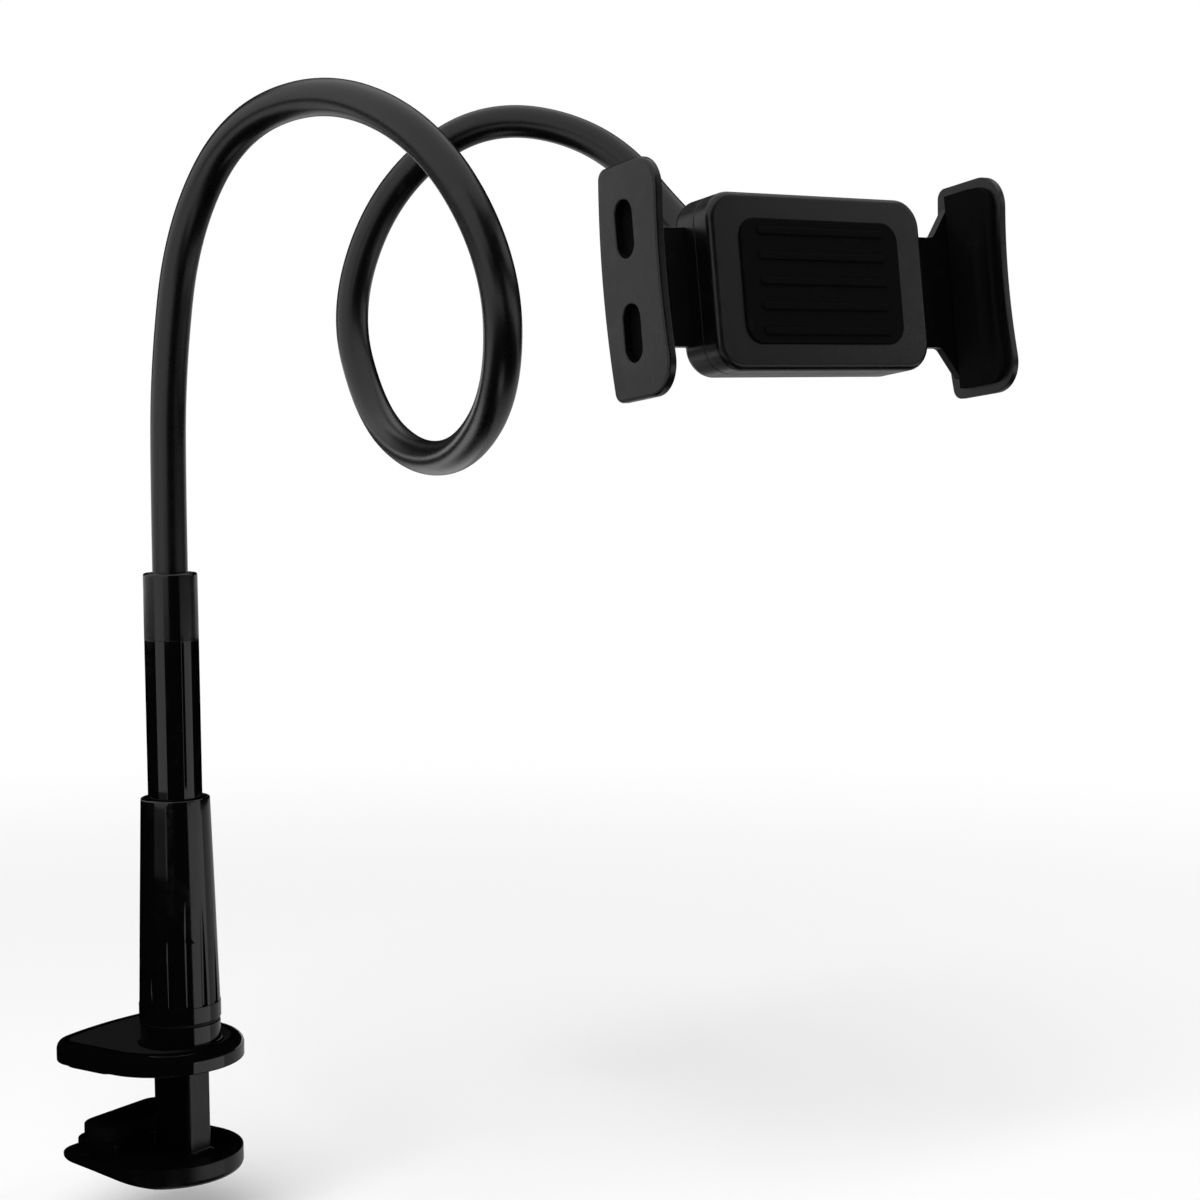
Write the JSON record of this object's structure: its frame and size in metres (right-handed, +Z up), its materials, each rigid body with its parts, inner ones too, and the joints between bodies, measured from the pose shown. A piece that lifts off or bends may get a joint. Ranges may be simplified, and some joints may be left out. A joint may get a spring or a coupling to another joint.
{
  "type": "phone holder",
  "caption": "Desk-clamp phone holder: a screw clamp under a tapered turning column, a short tube, a coiled gooseneck arm and a ball-jointed clip with sprung side jaws.",
  "frame": {"origin": "centre of the upper clamp pad's gripping face, where it rests on the desk top", "axes": "+Z up along the column, +Y from the desk's edge in over the desk, +X along the desk's edge; the user and the clip's screen side are towards -Y"},
  "size_m": [0.2087, 0.2393, 0.3397],
  "materials": {
    "satin_black": "satin moulded black",
    "grain_black": "fine-grained matt black with a polished edge",
    "gloss_black": "polished black",
    "sleeve_black": "smooth satin black sleeve",
    "pad_black": "matt black rubber",
    "steel": "plain steel",
    "dark_steel": "blackened steel",
    "brass": "turned brass",
    "bush_white": "dark grey bearing plastic"
  },
  "bodies": {
    "clamp": {"upper_jaw": "grain_black", "upper_jaw_pad": "pad_black", "thrust_washer": "bush_white", "snap_ring": "dark_steel"},
    "column": {"column": "gloss_black", "clamp_screw": "steel", "tube_bush": "bush_white"},
    "lower_jaw": {"lower_jaw": "satin_black", "lower_jaw_pad": "pad_black", "drive_nut": "brass"},
    "arm": {"extension_tube": "gloss_black", "ferrule": "satin_black", "gooseneck": "sleeve_black", "end_ferrule": "satin_black"},
    "ball": {"ball_stud": "dark_steel"},
    "socket": {"ball_socket": "satin_black"},
    "clip": {"front_housing": "satin_black", "rear_housing": "satin_black", "front_cushion": "pad_black", "case_screws": "dark_steel", "upper_spring": "steel", "lower_spring": "steel"},
    "lock_nut": {"lock_nut": "satin_black"},
    "left_jaw": {"left_jaw": "satin_black", "left_jaw_pad": "pad_black"},
    "right_jaw": {"right_jaw": "satin_black", "right_jaw_pad": "pad_black"}
  },
  "joints": [
    {"name": "column_turn", "type": "hinge", "parent": "clamp", "child": "column", "pos_m": [0, -0.02095, 0], "axis": [0, 0, 1], "range_deg": [-946, 2116]},
    {"name": "lower_jaw_slide", "type": "slide", "parent": "clamp", "child": "lower_jaw", "axis": [0, 0, 1], "range_m": [-0.0235, 0.0105]},
    {"name": "arm_swivel", "type": "hinge", "parent": "clamp", "child": "arm", "pos_m": [0, -0.02095, 0], "axis": [0, 0, 1], "continuous": true},
    {"name": "ball_spin", "type": "hinge", "parent": "arm", "child": "ball", "pos_m": [0.12405, -0.16189, 0.23757], "axis": [0.3383, 0.8138, 0.4725], "range_deg": [-40, 40]},
    {"name": "clip_tilt", "type": "hinge", "parent": "ball", "child": "socket", "pos_m": [0.12405, -0.16189, 0.23757], "axis": [0.923, -0.3848, 0.0104], "range_deg": [-4, 74]},
    {"name": "clip_roll", "type": "hinge", "parent": "socket", "child": "clip", "pos_m": [0.12405, -0.16189, 0.23757], "axis": [-0.3834, -0.9164, 0.1149], "continuous": true},
    {"name": "lock_nut_turn", "type": "hinge", "parent": "clip", "child": "lock_nut", "pos_m": [0.12405, -0.16189, 0.23757], "axis": [0.3834, 0.9164, -0.1149], "range_deg": [0, 120]},
    {"name": "left_jaw_slide", "type": "slide", "parent": "clip", "child": "left_jaw", "axis": [-0.923, 0.3848, -0.0104], "range_m": [-0.01, 0.018], "stiffness_N_per_m": 60, "springref_m": -0.1, "deforming": ["upper_spring", "lower_spring"]},
    {"name": "right_jaw_slide", "type": "slide", "parent": "clip", "child": "right_jaw", "axis": [0.923, -0.3848, 0.0104], "range_m": [-0.01, 0.018], "stiffness_N_per_m": 60, "springref_m": -0.1, "deforming": ["upper_spring", "lower_spring"]}
  ],
  "couplings": [
    {"joint": "column_turn", "follows": "lower_jaw_slide", "rad_per_m": -1570.8}
  ]
}
